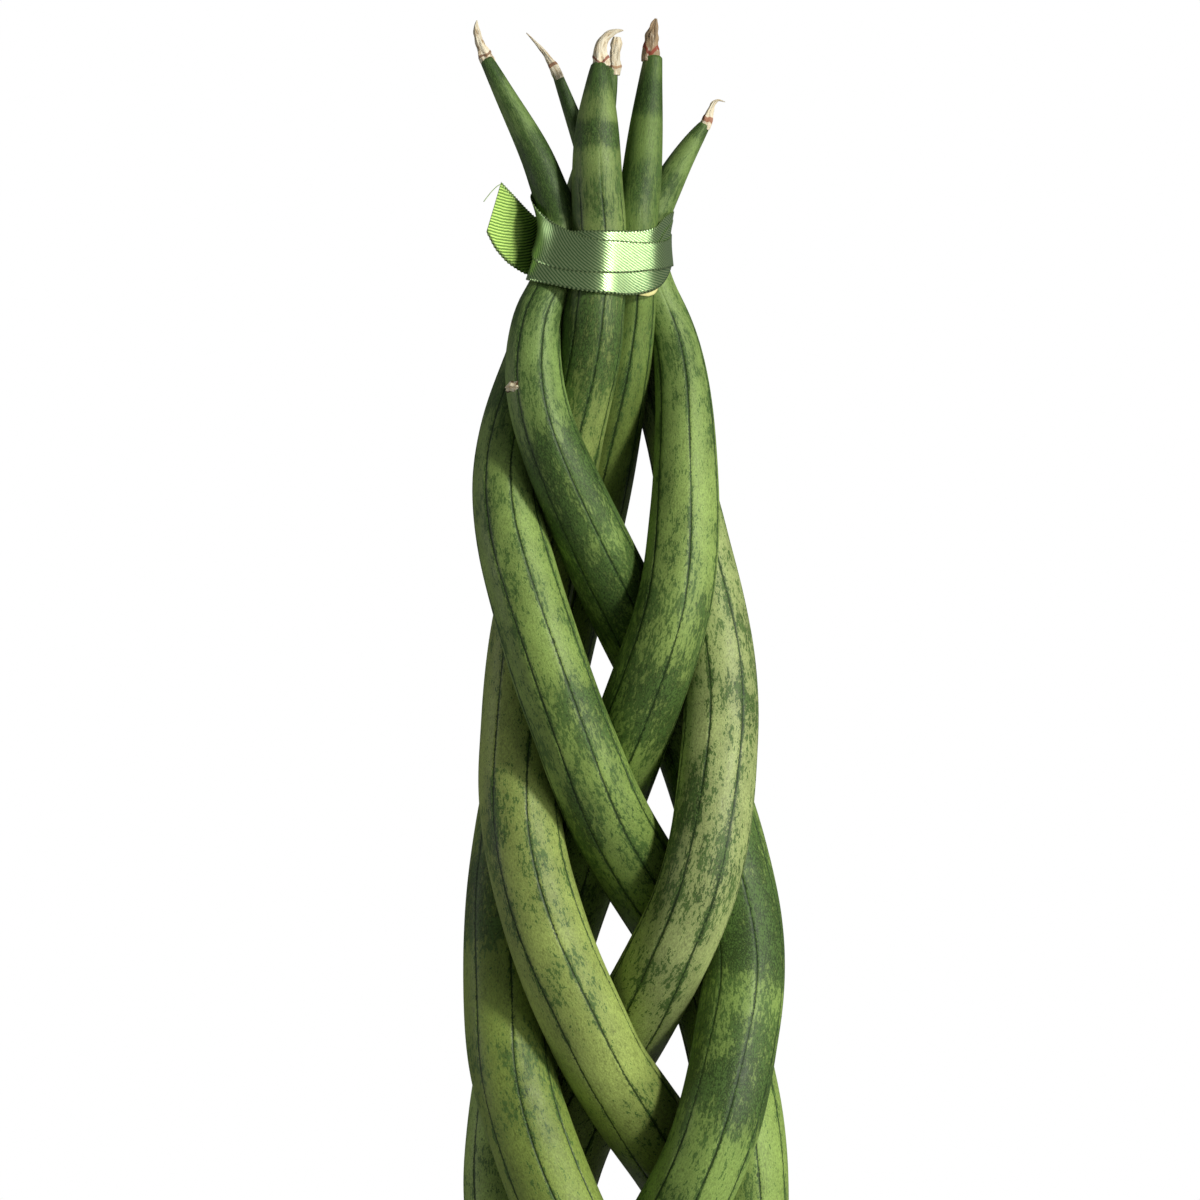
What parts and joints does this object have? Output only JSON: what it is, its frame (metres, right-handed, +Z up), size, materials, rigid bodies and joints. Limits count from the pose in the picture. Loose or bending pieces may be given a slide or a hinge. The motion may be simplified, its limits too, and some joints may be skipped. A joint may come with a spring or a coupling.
{
  "type": "braided cylindrical snake plant in a pot",
  "caption": "Cylindrical succulent leaves plaited into an upright column, tied under their dried tips with a satin ribbon, standing in soil in a plain round clay pot.",
  "frame": {"origin": "centre of the pot's foot, on the surface it stands on", "axes": "+Z up along the column, +X to the right of the front view, +Y away from the viewer"},
  "size_m": [0.152, 0.152, 0.5997],
  "materials": {
    "leaf": "matt waxy leaf, mottled in greens, with fine dark lengthwise grooves and dry tips",
    "ribbon": "shiny woven satin with a fine ribbed back",
    "band": "thin smooth elastic",
    "soil": "crumbly dark compost",
    "pot": "plain unglazed clay"
  },
  "bodies": {
    "root": {"leaf_1": "leaf", "leaf_2": "leaf", "leaf_3": "leaf", "leaf_4": "leaf", "leaf_5": "leaf", "leaf_6": "leaf", "ribbon": "ribbon", "elastic_band": "band", "soil": "soil", "pot": "pot"}
  },
  "joints": []
}
